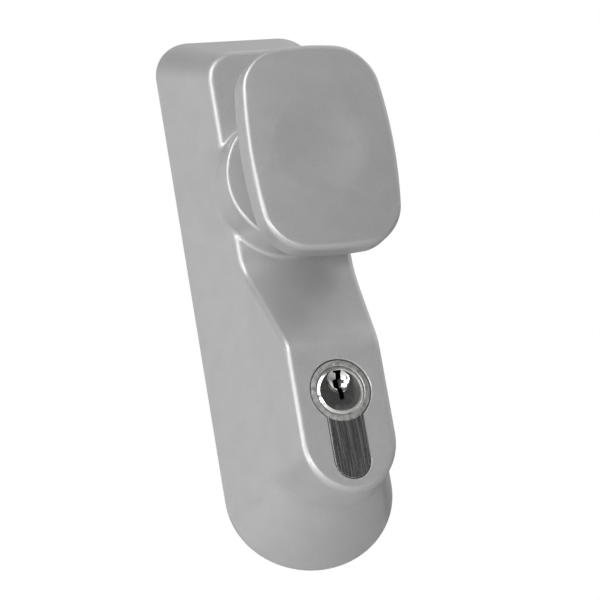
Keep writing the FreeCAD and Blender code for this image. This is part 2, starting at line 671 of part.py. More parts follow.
keep("housing", make_cover())
keep("back_plate", make_back_plate())
keep("back_plate_screws", *[make_screw(x, z) for x, z in SCREW_PLACES])
keep("fixing_posts", *[make_post(x, z) for x, z in POST_PLACES])
keep("slide_guide_studs", *[make_stud(x, z) for x, z in STUD_PLACES])
keep("follower_bush", ring(PLATE_BUSH_RADIUS, JOURNAL_RADIUS + RUNNING_GAP, 0.0, PLATE))
keep("shaft_bush", make_shaft_bush())

keep("knob", make_knob())
keep("knob_grub_screw", make_grub_screw())
keep("knob_shaft", make_shaft())
keep("thrust_washer", ring(8.3, SHAFT_RADIUS, WASHER_BACK, BUSH_TUBE_START - 0.05))
keep("shaft_circlip", make_circlip(8.0, CLIP_GROOVE_RADIUS, CLIP_BACK, WASHER_BACK, 5.0))
keep("knob_driver", make_driver())
keep("driver_washer", ring(6.4, DRIVER_SCREW_RADIUS, DRIVER_BACK - DRIVER_WASHER, DRIVER_BACK))
keep("driver_screw", make_driver_screw())
keep("knob_return_spring", coil(10.0, 0.7, DRIVER_FRONT + 1.1, BUSH_TUBE_START - 1.0, 3))

keep("clutch_collar", make_collar())
keep("clutch_spring", coil(8.0, 0.4, COLLAR_FRONT + 0.4, DRIVER_BACK - 0.4, 2))
keep("follower", make_follower())
keep("spindle", make_spindle())
keep("spindle_pin", cross_pin())

keep("lock_slide", make_slide())

keep("cylinder_body", make_cylinder_body())
keep("cylinder_plug", make_plug())
keep("cylinder_cam", make_cam())
keep("plug_circlip", make_circlip(5.6, PLUG_CLIP_RADIUS, *PLUG_CLIP_DEPTHS, 3.6, LOCK_Z))
keep("key_pins", *[make_key_pin(depth) for depth in pin_depths()])
keep("driver_pins", *[make_driver_pin(depth) for depth in pin_depths()])
keep("pin_springs", *[make_pin_spring(depth) for depth in pin_depths()])
keep("pin_caps", *[upright(PIN_RADIUS + PIN_GAP, depth, leg_foot() + 0.5, -22.0)
                   for depth in pin_depths()])
keep("cylinder_brackets", make_bracket(-1), make_bracket(1))
keep("cylinder_fixing_screw", make_fixing_screw())

os.makedirs("parts", exist_ok=True)
for name, shape in nodes.items():
    shape.exportStep(f"parts/{name}.step")
    print(name, "valid" if shape.isValid() else "NOT VALID", len(shape.Solids), "solids",
          round(shape.Volume), "mm3")
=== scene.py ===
"""Looks of the knob-operated outside access device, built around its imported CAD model.

Lengths in the shape functions are millimetres, in the CAD frame: X right, Y into the door, Z up.
"Depth" is the distance in front of the door, so depth = -Y. Meshes are scaled to metres at the end.
"""
import bmesh
import bpy
import json
import numpy as np
from math import ceil, cos, pi, radians, sin, tan
from mathutils import Matrix, Vector


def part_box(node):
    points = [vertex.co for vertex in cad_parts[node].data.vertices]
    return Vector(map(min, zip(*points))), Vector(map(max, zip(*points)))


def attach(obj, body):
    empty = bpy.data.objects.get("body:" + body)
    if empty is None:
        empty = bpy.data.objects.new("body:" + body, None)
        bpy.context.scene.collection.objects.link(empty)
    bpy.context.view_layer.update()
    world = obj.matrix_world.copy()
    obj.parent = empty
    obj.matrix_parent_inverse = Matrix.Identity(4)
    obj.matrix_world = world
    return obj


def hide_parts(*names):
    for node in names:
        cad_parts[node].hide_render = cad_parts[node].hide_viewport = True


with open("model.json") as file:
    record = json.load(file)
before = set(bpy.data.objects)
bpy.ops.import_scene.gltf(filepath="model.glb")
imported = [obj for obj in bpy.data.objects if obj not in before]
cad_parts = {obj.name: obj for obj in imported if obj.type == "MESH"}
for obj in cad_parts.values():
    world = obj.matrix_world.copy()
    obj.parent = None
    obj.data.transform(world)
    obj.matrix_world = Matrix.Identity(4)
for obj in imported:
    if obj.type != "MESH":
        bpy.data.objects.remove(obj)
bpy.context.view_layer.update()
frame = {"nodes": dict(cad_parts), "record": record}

MM = 0.001


def box_mm(node):
    """Lowest and highest corner of a CAD node, in millimetres."""
    low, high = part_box(node)
    return low / MM, high / MM


# ---- sizes in millimetres, read from the frame where it has them

# depth over which a turned piece goes from one radius to the next at a square shoulder
STEP = 0.0001

housing_low, housing_high = box_mm("housing")
knob_low, knob_high = box_mm("knob")
euro_low, euro_high = box_mm("cylinder_body")
plate_low = box_mm("back_plate")[0]

# cover: plan outlines at three depths, (half width, top, corner radius, end of sides, drop)
RIM_DEPTH = 1.0
CREASE_DEPTH = 23.8
OUTLINE_END = 43.0
BASE_OUTLINE = (housing_high.x, housing_high.z, 11.0, -84.2, -84.2 - housing_low.z)
CREASE_OUTLINE = (16.4, 41.7, 8.5, -78.0, 16.3)
FRONT_OUTLINE = (13.4, 38.7, 5.0, -77.0, 15.1)
RIM_SOFTNESS = 0.6
CREASE_SOFTNESS = (5.0, 3.0, 3.0, 2.5, 2.5)
WALL = 2.5
RIM_WALL = 1.6
PLATE = -plate_low.y

# cover: front face, from the ridge up the ramp to the nose
RIDGE_DEPTH = 23.7
NOSE_DEPTH = -housing_low.y
RAMP_FOOT_Z = -23.2
RAMP_ANGLE = radians(33.3)
RAMP_TOP_Z = RAMP_FOOT_Z - (NOSE_DEPTH - RIDGE_DEPTH) / tan(RAMP_ANGLE)
RAMP_ROUND = 12.0
RIDGE_EDGE = 1.5
NOSE_EDGE = 1.6

# cover: round boss, and the tube inside it that holds the shaft's bush
BOSS_RADIUS = 20.0
BOSS_DEPTH = 34.35
BOSS_EDGE = 1.0
BOSS_FOOT_FRONT = 1.5
BOSS_FOOT_SIDE = 4.0
BOSS_FOOT_START = 20.0
BOSS_HOLLOW = 17.0
BOSS_FLOOR = 31.8
BUSH_TUBE = 10.5
BUSH_BORE = 8.5
BUSH_START = 24.0
BORE_LEAD = 3.0

# cover: two ribs in the boss that stop the knob, each at an angle from the top
STOP_ANGLE = radians(72.0)
STOP_HALF_WIDTH = 2.0
STOP_INNER = 12.8
STOP_START = 14.2
STOP_ROOT = 2.0

# cover: screw columns, and the broken edge round the cylinder's opening
SCREW_PLACES = [(-16.0, 43.0), (16.0, 43.0), (-17.0, -86.0), (17.0, -86.0)]
COLUMN_RADIUS = 3.5
COLUMN_TOP = 13.0
SCREW_HOLE_END = 11.0
LIP = 0.16

# cover: radii of the casting's other edges and corners, and the spacing of its mesh grid
RIM_ROUND = 0.3
HOLLOW_ROUND = 1.5
BOSS_HOLLOW_ROUND = 1.0
TUBE_ROUND = 0.6
STOP_ROUND = 0.4
COLUMN_ROUND = 0.5
OPENING_ROUND = 0.35
COVER_GRID = (0.66, 0.75, 0.85)
COVER_RIM_GRID = 0.4

# back plate, its fasteners and the bearings
PLATE_GAP = 0.15
PLATE_EURO_GAP = 0.6
PLATE_BUSH_RADIUS = 8.6
SCREW_RADIUS = 1.9
SCREW_TIP = 10.0
POST_PLACES = [(0.0, 31.0), (0.0, -95.0)]
POST_RADIUS = 4.0
POST_SHANK_RADIUS = 3.2
POST_TOP = 8.0
POST_THREAD_RADIUS = 2.5
STUD_PLACES = [(0.0, -27.0), (13.4, -45.0)]
STUD_RADIUS = 2.0
STUD_SHANK_RADIUS = 1.6
STUD_HEAD = 1.05
CROSS_ARM = 2.6
CROSS_HALF_WIDTH = 0.5
CROSS_DEPTH = 1.1
CROSS_TAPER = 0.6
SLIDE_FRONT = 3.65
RUNNING_GAP = 0.04
BUSH_FLANGE_RADIUS = 11.4
BUSH_FLANGE = 0.8
JOURNAL_RADIUS = 7.0
HUB_SQUARE = 11.0
HUB_CORNER_RADIUS = 7.4
HUB_FRONT = 11.4
SPINDLE_SQUARE = 8.0
SPINDLE_FRONT = 10.0
SPINDLE_PIN_DEPTH = 7.0
SPINDLE_PIN_RADIUS = 1.25

# knob: the face's crown radius, of which the ends get a share, and where it reaches its front
KNOB_CROWN = 230.0
CROWN_END_SHARE = 0.5
DISH_EDGE = 13.3
KNOB_FACE = -knob_low.y + DISH_EDGE ** 2 / (2 * KNOB_CROWN)
KNOB_BACK = 51.2
KNOB_HALF_WIDTH = knob_high.x
KNOB_HALF_HEIGHT = knob_high.z + 0.3
KNOB_SIDE_ROUND = 143.0
KNOB_END_ROUND = 93.5
KNOB_CORNER = 9.0
KNOB_FRONT_EDGE = 1.7
KNOB_BACK_EDGE = 3.0
NECK_RADIUS = 11.0
NECK_START = -knob_high.y
NECK_FLARE = 6.0
NECK_EDGE = 0.3
DISH_RADIUS = 14.5
DISH_DROP = 1.25
DISH_POWER = 1.35
KNOB_GRID = (0.5, 0.45, 0.5)
SHAFT_RADIUS = 6.0
SHAFT_FRONT = 52.0
GRUB_DEPTH = 42.0
GRUB_RADIUS = 2.5

# half Euro cylinder: section, face and the turned ring round the plug
EURO_RADIUS = euro_high.x
LEG_HALF = 5.0
LOCK_Z = euro_high.z - EURO_RADIUS
LEG_END_Z = euro_low.z + LEG_HALF
CYLINDER_FACE = -euro_low.y
CYLINDER_BACK = -euro_high.y
EURO_GAP = 0.3
PLUG_RADIUS = 6.5
RIM_RADIUS = 6.9
RIM_LENGTH = 1.6
RIM_CHAMFER = 0.8
PLUG_FACE_RADIUS = 5.85
RING_SLOPE = 0.16
RING_START = RIM_RADIUS + 0.2
BORE_GAP = 0.04

# half Euro cylinder: scooped key entry, and keyway as (left, right, bottom, top) boxes
ENTRY_BALL = 4.6
ENTRY_CENTRE = (-0.2, -CYLINDER_FACE - 3.2, LOCK_Z + 2.7)
KEYWAY = [(-1.2, 1.1, 5.2, 5.75), (-0.35, 1.0, 3.4, 5.2), (-1.45, 0.15, 0.9, 3.4),
          (-0.65, 0.7, -2.6, 0.9)]
KEYWAY_ROUND = 0.4

# half Euro cylinder: fixing screw, cam slot around it, tail and pin bores
FIXING_DEPTH = CYLINDER_FACE - 30.0
FIXING_RADIUS = 2.1
FIXING_DROP = 20.0
CAM_REACH = 15.8
CAM_SLOT_HALF = 5.1
CAM_FRONT = FIXING_DEPTH + CAM_SLOT_HALF
CAM_HALF = 5.0
CAM_SEAT_RADIUS = 5.0
TAIL_RADIUS = 4.0
TAIL_WALL = 1.4
PIN_DEPTHS = [CYLINDER_FACE - 6.0 - 4.0 * n for n in range(5)]
PIN_BORE_RADIUS = 1.45

# plug's spring ring
CLIP_OUTER = 5.6
CLIP_INNER = 3.3
CLIP_HALF_MOUTH = 1.8
CLIP_START = CYLINDER_BACK + 0.3
CLIP_END = CYLINDER_BACK + 1.1


# ---- rounded joins of distance fields (negative inside)

def length(a, b):
    return np.sqrt(a * a + b * b)


def both(a, b, r):
    """Where a and b overlap, their shared edge rounded to radius r."""
    return np.minimum(np.maximum(a, b), -r) + length(np.maximum(a + r, 0), np.maximum(b + r, 0))


def either(a, b, r):
    """a joined with b, the inner corner filled to radius r."""
    return np.maximum(np.minimum(a, b), r) - length(np.maximum(r - a, 0), np.maximum(r - b, 0))


def without(a, b, r):
    """a with b taken away, the edge rounded to radius r."""
    return both(a, -b, r)


def smooth_step(low, high, value):
    t = np.clip((value - low) / (high - low), 0, 1)
    return t * t * (3 - 2 * t)


def soft_ramp(t, k):
    """max(t, 0), with its kink spread evenly over -k to k."""
    return np.where(np.abs(t) < k, (t + k) ** 2 / (4 * k), np.maximum(t, 0))


# ---- fields to meshes

def axis(*stretches):
    """Grid lines through stretches of (start, end, step)."""
    lines = []
    for start, end, step in stretches:
        lines.append(np.linspace(start, end, ceil((end - start) / step), endpoint=False))
    lines.append([stretches[-1][1]])
    return np.concatenate(lines)


def surface_net(field, xs, ys, zs):
    """Vertices and quads of the surface field = 0, one vertex in each grid cell that it crosses."""
    values = field(xs[:, None, None], ys[None, :, None], zs[None, None, :])
    inside = values < 0
    lines = (xs, ys, zs)
    cells = tuple(n - 1 for n in values.shape)
    total = np.zeros((cells[0] * cells[1] * cells[2], 3))
    count = np.zeros(len(total))
    faces = []
    for a in range(3):
        b, c = (a + 1) % 3, (a + 2) % 3
        first = [slice(None)] * 3
        second = [slice(None)] * 3
        first[a] = slice(None, -1)
        second[a] = slice(1, None)
        crossed = inside[tuple(first)] != inside[tuple(second)]
        index = np.stack(np.nonzero(crossed), 1)
        keep = np.all((index[:, [b, c]] > 0) & (index[:, [b, c]] < [cells[b], cells[c]]), 1)
        index = index[keep]
        after = index.copy()
        after[:, a] += 1
        v0 = values[tuple(index.T)]
        v1 = values[tuple(after.T)]
        t = v0 / (v0 - v1)
        point = np.empty((len(index), 3))
        point[:, a] = lines[a][index[:, a]] * (1 - t) + lines[a][after[:, a]] * t
        point[:, b] = lines[b][index[:, b]]
        point[:, c] = lines[c][index[:, c]]
        ring = []
        for step_b, step_c in ((-1, -1), (0, -1), (0, 0), (-1, 0)):
            cell = index.copy()
            cell[:, b] += step_b
            cell[:, c] += step_c
            flat = np.ravel_multi_index(cell.T, cells)
            for k in range(3):
                total[:, k] += np.bincount(flat, point[:, k], len(total))
            count += np.bincount(flat, minlength=len(total))
            ring.append(flat)
        quad = np.stack(ring, 1)
        quad[v0 > 0] = quad[v0 > 0][:, ::-1]
        faces.append(quad)
    used = count > 0
    number = np.cumsum(used) - 1
    return total[used] / count[used, None], number[np.concatenate(faces)]


def gradient(field, points, reach=0.01):
    parts = []
    for k in range(3):
        step = np.zeros(3)
        step[k] = reach
        parts.append((field(*(points + step).T) - field(*(points - step).T)) / (2 * reach))
    return np.stack(parts, 1)


def settle(field, points, rounds=4, most=0.5):
    """Move points onto the surface along the field's gradient."""
    for _ in range(rounds):
        slope = gradient(field, points)
        move = -slope * (field(*points.T) / np.maximum((slope ** 2).sum(1), 0.05))[:, None]
        far = np.maximum(np.linalg.norm(move, axis=1, keepdims=True) / most, 1)
        points = points + move / far
    return points


def mesh_object(name, points, faces):
    """New closed solid from points in millimetres, its faces turned outwards."""
    mesh = bpy.data.meshes.new(name)
    mesh.from_pydata((np.asarray(points) * MM).tolist(), [], [list(map(int, f)) for f in faces])
    form = bmesh.new()
    form.from_mesh(mesh)
    if form.calc_volume(signed=True) < 0:
        bmesh.ops.reverse_faces(form, faces=form.faces)
    form.to_mesh(mesh)
    form.free()
    mesh.update()
    piece = bpy.data.objects.new(name, mesh)
    bpy.context.scene.collection.objects.link(piece)
    return piece


def field_object(name, field, xs, ys, zs):
    points, faces = surface_net(field, xs, ys, zs)
    return mesh_object(name, settle(field, points), faces)


def carve(piece, cutters):
    """Take each cutter away from the piece, and remove the cutter."""
    for cutter in cutters:
        cut = piece.modifiers.new("cut", "BOOLEAN")
        cut.operation = "DIFFERENCE"
        cut.solver = "MANIFOLD"
        cut.object = cutter
        graph = bpy.context.evaluated_depsgraph_get()
        result = bpy.data.meshes.new_from_object(piece.evaluated_get(graph), depsgraph=graph)
        piece.modifiers.clear()
        old = piece.data
        piece.data = result
        bpy.data.meshes.remove(old)
        bpy.data.objects.remove(cutter)
    piece.data.name = piece.name
    return piece


def shade(piece, fields=(), angle=32.0, near=0.06, agreement=0.7, towards_centre=0.03):
    """Smooth shading with true surface normals where one of the fields gives them.

    A face within near of a field takes that field's slope at its corners, drawn a little towards
    the face's centre, where the slope agrees with the face's own normal.
    """
    mesh = piece.data
    mesh.shade_smooth()
    mesh.set_sharp_from_angle(angle=radians(angle))
    if not fields:
        return piece
    corners = np.empty(len(mesh.loops) * 3, np.float32)
    mesh.corner_normals.foreach_get("vector", corners)
    normals = corners.reshape(-1, 3).astype(float)
    points = np.empty(len(mesh.vertices) * 3, np.float32)
    mesh.vertices.foreach_get("co", points)
    points = points.reshape(-1, 3).astype(float) / MM
    loop_vertex = np.empty(len(mesh.loops), np.int32)
    mesh.loops.foreach_get("vertex_index", loop_vertex)
    loop_total = np.empty(len(mesh.polygons), np.int32)
    mesh.polygons.foreach_get("loop_total", loop_total)
    loop_face = np.repeat(np.arange(len(loop_total)), loop_total)
    centres = np.empty(len(mesh.polygons) * 3, np.float32)
    mesh.polygons.foreach_get("center", centres)
    centres = centres.reshape(-1, 3).astype(float) / MM
    at_corner = points[loop_vertex] * (1 - towards_centre) + centres[loop_face] * towards_centre
    for field in fields:
        close = np.abs(field(*centres.T)) < near
        chosen = close[loop_face]
        slope = gradient(field, at_corner[chosen])
        slope /= np.maximum(np.linalg.norm(slope, axis=1, keepdims=True), 1e-9)
        agree = (slope * normals[chosen]).sum(1) > agreement
        where = np.nonzero(chosen)[0][agree]
        normals[where] = slope[agree]
    mesh.normals_split_custom_set(normals.tolist())
    return piece


# ---- cover

def outline_distance(x, z, plan):
    """Distance from the cover's plan outline: flat top, round corners, half-elliptical bottom."""
    half_width, top, corner, side_end, drop = plan
    across = np.abs(x)
    qx = across - (half_width - corner)
    qz = z - (top - corner)
    upper = length(np.maximum(qx, 0), np.maximum(qz, 0)) + np.minimum(np.maximum(qx, qz), 0)
    low = np.minimum(z - side_end, 0)
    k0 = length(across / half_width, low / drop) + 1e-9
    k1 = length(across / half_width ** 2, low / drop ** 2) + 1e-9
    return np.where(z > side_end, upper - corner, k0 * (k0 - 1) / k1)


def plan_at(depth):
    """The plan outline at a depth, its kinks softened."""
    plan = []
    rows = zip(BASE_OUTLINE, CREASE_OUTLINE, FRONT_OUTLINE, CREASE_SOFTNESS)
    for base, crease, front, softness in rows:
        first = (crease - base) / (CREASE_DEPTH - RIM_DEPTH)
        second = (front - crease) / (OUTLINE_END - CREASE_DEPTH)
        value = base + first * soft_ramp(depth - RIM_DEPTH, RIM_SOFTNESS)
        plan.append(value + (second - first) * soft_ramp(depth - CREASE_DEPTH, softness))
    return plan


def front_depth(z):
    """Depth of the cover's front face along z, and its slope: ridge, arc, ramp, arc, nose."""
    tangent = RAMP_ROUND * tan(RAMP_ANGLE / 2)
    reach = RAMP_ROUND * sin(RAMP_ANGLE)
    foot_start = RAMP_FOOT_Z + tangent
    top_end = RAMP_TOP_Z - tangent
    foot = np.clip(foot_start - z, 0, reach)
    top = np.clip(z - top_end, 0, reach)
    rise = RIDGE_DEPTH + RAMP_ROUND - np.sqrt(RAMP_ROUND ** 2 - foot ** 2)
    fall = NOSE_DEPTH - RAMP_ROUND + np.sqrt(RAMP_ROUND ** 2 - top ** 2)
    middle = (z < foot_start - reach) & (z > top_end + reach)
    ramp = RIDGE_DEPTH + (RAMP_FOOT_Z - z) * tan(RAMP_ANGLE)
    half_way = (RAMP_FOOT_Z + RAMP_TOP_Z) / 2
    depth = np.where(middle, ramp, np.where(z > half_way, rise, fall))
    slope = np.where(middle, tan(RAMP_ANGLE), np.where(
        z > half_way, foot / np.sqrt(RAMP_ROUND ** 2 - foot ** 2),
        top / np.sqrt(RAMP_ROUND ** 2 - top ** 2)))
    return depth, slope


def round_bar(x, z, radius, x0=0.0, z0=0.0):
    return length(x - x0, z - z0) - radius


def cover_outside(x, y, z):
    depth = -y
    side = outline_distance(x, z, plan_at(depth))
    face, slope = front_depth(z)
    front = (depth - face) / np.sqrt(1 + slope ** 2)
    edge = RIDGE_EDGE + (NOSE_EDGE - RIDGE_EDGE) * smooth_step(RAMP_FOOT_Z, RAMP_TOP_Z, z)
    body = both(side, front, edge)
    boss = both(round_bar(x, z, BOSS_RADIUS), depth - BOSS_DEPTH, BOSS_EDGE)
    near_front = smooth_step(BOSS_FOOT_START, RIDGE_DEPTH, depth)
    foot = BOSS_FOOT_SIDE + (BOSS_FOOT_FRONT - BOSS_FOOT_SIDE) * near_front
    return both(either(body, boss, foot), -depth, RIM_ROUND)


def cover_hollow(x, y, z):
    depth = -y
    side = outline_distance(x, z, plan_at(depth)) + 0 * y
    face, slope = front_depth(z)
    front = (depth - face) / np.sqrt(1 + slope ** 2) + WALL
    inner = both(side + WALL, front, HOLLOW_ROUND)
    boss = both(round_bar(x, z, BOSS_HOLLOW), depth - BOSS_FLOOR, BOSS_HOLLOW_ROUND)
    inner = either(inner, boss, BOSS_HOLLOW_ROUND)
    tube = np.maximum(round_bar(x, z, BUSH_TUBE), BUSH_START - depth)
    inner = without(inner, tube, TUBE_ROUND)
    for sign in (-1, 1):
        along = z * cos(STOP_ANGLE) - sign * x * sin(STOP_ANGLE)
        across = x * cos(STOP_ANGLE) + sign * z * sin(STOP_ANGLE)
        rib = np.maximum(STOP_INNER - along, STOP_START - depth)
        rib = np.maximum(np.abs(across) - STOP_HALF_WIDTH, rib)
        rib = np.maximum(rib, along - BOSS_HOLLOW - STOP_ROOT)
        inner = without(inner, rib, STOP_ROUND)
    for cx, cz in SCREW_PLACES:
        column = np.maximum(round_bar(x, z, COLUMN_RADIUS, cx, cz), depth - COLUMN_TOP)
        inner = without(inner, column, COLUMN_ROUND)
    inner = both(inner, PLATE - depth, RIM_ROUND)
    pocket = np.maximum(side + RIM_WALL, depth - PLATE)
    return np.minimum(inner, pocket)


def cover_field(x, y, z):
    solid = without(cover_outside(x, y, z), cover_hollow(x, y, z), OPENING_ROUND)
    bore = np.maximum(round_bar(x, z, BUSH_BORE), BUSH_START - BORE_LEAD + y)
    solid = without(solid, bore, RIM_ROUND)
    for cx, cz in SCREW_PLACES:
        hole = np.maximum(round_bar(x, z, SCREW_RADIUS, cx, cz), -y - SCREW_HOLE_END)
        solid = np.maximum(solid, -hole)
    return solid


def euro_outline(inset=0.0, steps=64):
    """The Euro section drawn in by inset: a circle over a round-ended leg."""
    circle = EURO_RADIUS - inset
    leg = LEG_HALF - inset
    open_angle = np.arcsin(leg / circle)
    points = []
    for t in np.linspace(-pi / 2 + open_angle, 3 * pi / 2 - open_angle, 2 * steps):
        points.append((circle * cos(t), LOCK_Z + circle * sin(t)))
    for t in np.linspace(pi, 2 * pi, steps):
        points.append((leg * cos(t), LEG_END_Z + leg * sin(t)))
    return points


def circle_outline(radius, x=0.0, z=0.0, steps=128):
    turns = np.arange(steps) * 2 * pi / steps
    return [(x + radius * cos(t), z + radius * sin(t)) for t in turns]


def stacked(name, rings):
    """Closed solid through rings of (outline, depth), which run from back to front."""
    count = len(rings[0][0])
    points = [(x, -depth, z) for outline, depth in rings for x, z in outline]
    faces = [range(count - 1, -1, -1)]
    for level in range(len(rings) - 1):
        for i in range(count):
            j = (i + 1) % count
            low = level * count
            faces.append((low + j, low + count + j, low + count + i, low + i))
    faces.append(range(len(points) - count, len(points)))
    return mesh_object(name, points, faces)


def lathe(name, profile, x=0.0, z=0.0, steps=128):
    """Solid ring: a closed profile of (radius, depth) points turned about a depth axis."""
    points = []
    for k in range(steps):
        t = 2 * pi * k / steps
        points += [(x + radius * cos(t), -depth, z + radius * sin(t)) for radius, depth in profile]
    count = len(profile)
    faces = []
    for k in range(steps):
        here, there = k * count, (k + 1) % steps * count
        for i in range(count):
            j = (i + 1) % count
            faces.append((here + i, here + j, there + j, there + i))
    return mesh_object(name, points, faces)


def rod(name, sections, x=0.0, z=0.0, steps=96):
    """Solid turned bar through (radius, depth) sections, from back to front."""
    rings = [(circle_outline(radius, x, z, steps), depth) for radius, depth in sections]
    return stacked(name, rings)


def ring_profile(outer, inner, back, front, edge=0.12):
    """Section of a plain ring with its four edges broken."""
    return [(inner + edge, back), (outer - edge, back), (outer, back + edge),
            (outer, front - edge), (outer - edge, front), (inner + edge, front),
            (inner, front - edge), (inner, back + edge)]


def rectangle(x_low, x_high, z_low, z_high):
    return [(x_low, z_low), (x_high, z_low), (x_high, z_high), (x_low, z_high)]


def joined(name, pieces):
    """One object made of several separate solids."""
    points = []
    faces = []
    for piece in pieces:
        start = len(points)
        points += [tuple(v.co / MM) for v in piece.data.vertices]
        faces += [[start + i for i in face.vertices] for face in piece.data.polygons]
        bpy.data.objects.remove(piece)
    return mesh_object(name, points, faces)


def make_housing():
    step_x, step_y, step_z = COVER_GRID
    xs = axis((housing_low.x - 0.7, housing_high.x + 0.7, step_x))
    ys = axis((housing_low.y - 0.8, -3.0, step_y), (-3.0, 0.6, COVER_RIM_GRID))
    zs = axis((housing_low.z - 0.8, housing_high.z + 0.8, step_z))
    cover = field_object("housing_cast", cover_field, xs, ys, zs)
    cutter = stacked("euro_cut", [
        (euro_outline(-EURO_GAP), NOSE_DEPTH - 2 * WALL),
        (euro_outline(-EURO_GAP), NOSE_DEPTH - LIP),
        (euro_outline(-EURO_GAP - LIP * 1.6), NOSE_DEPTH + 0.6 * LIP),
        (euro_outline(-EURO_GAP - LIP * 1.6), NOSE_DEPTH + 2.0)])
    carve(cover, [cutter])
    return shade(cover, [cover_field])


# ---- knob

def knob_face_depth(x, z):
    """The face's depth: crowned, with a round finger dish."""
    out = length(x, z)
    dish = DISH_DROP * (1 - smooth_step(0.0, 1.0, (out / DISH_RADIUS) ** DISH_POWER))
    crown = (x ** 2 + z ** 2 * CROWN_END_SHARE) / (2 * KNOB_CROWN)
    return KNOB_FACE - crown - dish


def knob_field(x, y, z):
    depth = -y
    side = length(np.abs(x) + KNOB_SIDE_ROUND - KNOB_HALF_WIDTH, z) - KNOB_SIDE_ROUND
    end = length(x, np.abs(z) + KNOB_END_ROUND - KNOB_HALF_HEIGHT) - KNOB_END_ROUND
    head = both(side, end, KNOB_CORNER)
    head = both(head, depth - knob_face_depth(x, z), KNOB_FRONT_EDGE)
    head = both(head, KNOB_BACK - depth, KNOB_BACK_EDGE)
    neck = both(round_bar(x, z, NECK_RADIUS), NECK_START - depth, NECK_EDGE)
    neck = np.maximum(neck, depth - KNOB_BACK - 2.0)
    shape = either(head, neck, NECK_FLARE)
    shape = np.maximum(shape, np.maximum(NECK_START - depth, depth - KNOB_FACE))
    return np.maximum(shape, -np.maximum(round_bar(x, z, SHAFT_RADIUS), depth - SHAFT_FRONT))


def make_knob():
    xs, ys, zs = [axis((low - 0.6, high + 0.6, step))
                  for low, high, step in zip(knob_low, knob_high, KNOB_GRID)]
    knob = field_object("knob_cast", knob_field, xs, ys, zs)
    hole = mesh_cutter("grub_hole", GRUB_RADIUS + 0.02, (0, -GRUB_DEPTH, -SHAFT_RADIUS + 0.2),
                       (0, -GRUB_DEPTH, -NECK_RADIUS - 2.0))
    return shade(carve(knob, [hole]), [knob_field])


# ---- half Euro cylinder

def mesh_cutter(name, radius, start, end, steps=64):
    """Round cutter between two points."""
    start = Vector(start)
    end = Vector(end)
    along = (end - start).normalized()
    side = along.orthogonal().normalized()
    up = along.cross(side)
    points = []
    for place in (start, end):
        for k in range(steps):
            t = 2 * pi * k / steps
            points.append(tuple(place + radius * (cos(t) * side + sin(t) * up)))
    faces = [range(steps - 1, -1, -1)]
    faces += [(k, (k + 1) % steps, steps + (k + 1) % steps, steps + k) for k in range(steps)]
    faces.append(range(steps, 2 * steps))
    return mesh_object(name, points, faces)


def make_cylinder_body():
    edge = 0.18
    body = stacked("cylinder_body_turned", [
        (euro_outline(edge), CYLINDER_BACK), (euro_outline(), CYLINDER_BACK + edge),
        (euro_outline(), CYLINDER_FACE - edge), (euro_outline(edge), CYLINDER_FACE)])
    rim_back = CYLINDER_FACE - RIM_LENGTH - BORE_GAP
    bore = rod("bore", [
        (PLUG_RADIUS + BORE_GAP, FIXING_DEPTH), (PLUG_RADIUS + BORE_GAP, rim_back),
        (RIM_RADIUS + 2 * BORE_GAP, rim_back + STEP),
        (RIM_RADIUS + 2 * BORE_GAP, CYLINDER_FACE - 3 * BORE_GAP),
        (RING_START, CYLINDER_FACE + 0.001), (RING_START, CYLINDER_FACE + 1.0)],
        z=LOCK_Z, steps=128)
    ring_cut = lathe("ring_cut", [
        (RING_START, CYLINDER_FACE), (RING_START, CYLINDER_FACE + 1.0),
        (EURO_RADIUS + 0.05, CYLINDER_FACE + 1.0),
        (EURO_RADIUS + 0.05, CYLINDER_FACE - RING_SLOPE)], z=LOCK_Z)
    cam_slot = rod("cam_slot", [(CAM_REACH, FIXING_DEPTH - CAM_SLOT_HALF), (CAM_REACH, CAM_FRONT)],
                   z=LOCK_Z, steps=128)
    tail = rod("tail_bore", [
        (PLUG_RADIUS, CYLINDER_BACK - 1.0), (PLUG_RADIUS, CYLINDER_BACK + TAIL_WALL),
        (TAIL_RADIUS + BORE_GAP, CYLINDER_BACK + TAIL_WALL + STEP),
        (TAIL_RADIUS + BORE_GAP, FIXING_DEPTH)], z=LOCK_Z, steps=128)
    fixing = mesh_cutter("fixing", FIXING_RADIUS, (-8, -FIXING_DEPTH, LOCK_Z - FIXING_DROP),
                         (8, -FIXING_DEPTH, LOCK_Z - FIXING_DROP))
    pins = [mesh_cutter(f"pin_bore_{n}", PIN_BORE_RADIUS, (0, -depth, euro_low.z - 1),
                        (0, -depth, LOCK_Z - 6.0), 40) for n, depth in enumerate(PIN_DEPTHS)]
    carve(body, [bore, ring_cut, cam_slot, tail, fixing] + pins)
    return shade(body)


def ball_cutter(name, radius, centre):
    """Fine ball with its pole towards the front."""
    rows, columns = 48, 96
    points = [(centre[0], centre[1] + radius, centre[2])]
    for row in range(1, rows):
        angle = pi * row / rows
        for column in range(columns):
            turn = 2 * pi * column / columns
            points.append((centre[0] + radius * sin(angle) * cos(turn),
                           centre[1] + radius * cos(angle),
                           centre[2] + radius * sin(angle) * sin(turn)))
    points.append((centre[0], centre[1] - radius, centre[2]))
    faces = []
    last = len(points) - 1
    for column in range(columns):
        after = (column + 1) % columns
        faces.append((0, 1 + after, 1 + column))
        for row in range(rows - 2):
            low = 1 + row * columns
            faces.append((low + after, low + columns + after, low + columns + column, low + column))
        low = 1 + (rows - 2) * columns
        faces.append((last, low + column, low + after))
    return mesh_object(name, points, faces)


